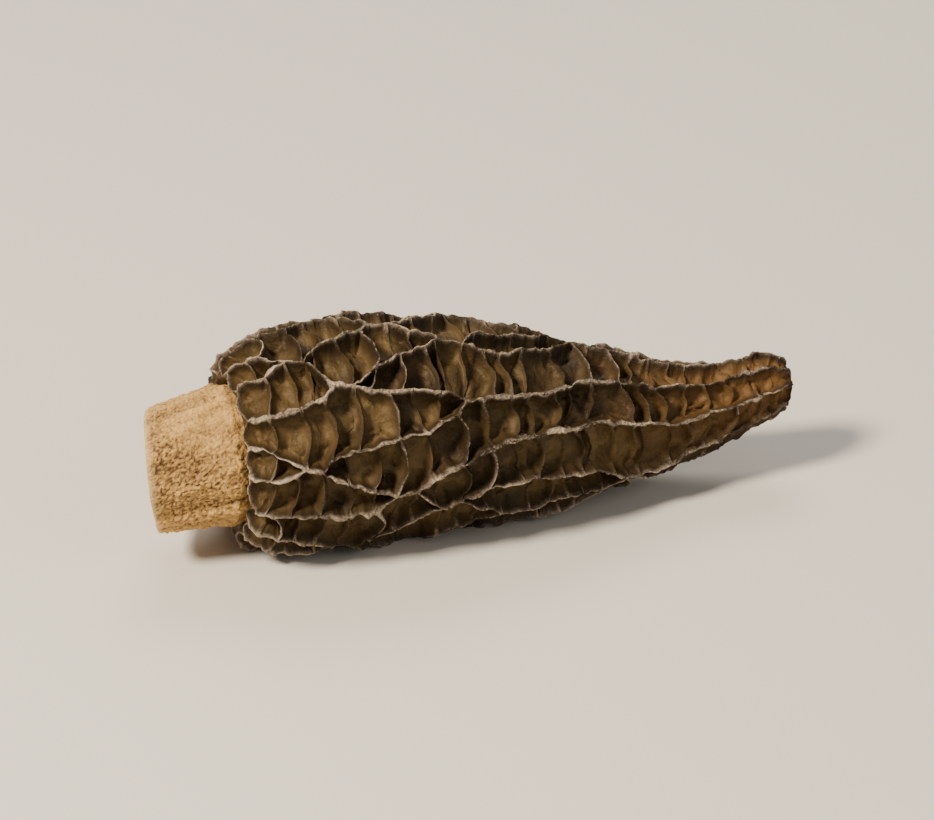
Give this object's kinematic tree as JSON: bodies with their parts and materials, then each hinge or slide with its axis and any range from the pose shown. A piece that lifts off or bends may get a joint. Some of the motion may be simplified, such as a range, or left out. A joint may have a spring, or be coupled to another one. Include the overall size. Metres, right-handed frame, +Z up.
{
  "type": "dried black morel",
  "caption": "Dried black morel lying on its side: long tapering honeycombed cap with a raised net of ribs over deep pits, and a short pale hollow stem, cut across.",
  "frame": {"origin": "on the surface it lies on, under the middle of its bounding box", "axes": "+X along the cap from the cut stem to the tip, +Z up from the surface, -Y the side seen in the picture"},
  "size_m": [0.0822, 0.0277, 0.0269],
  "materials": {
    "dried_cap": "matte",
    "dried_stem": "matte"
  },
  "bodies": {
    "root": {"morel": "dried_cap"}
  },
  "joints": []
}
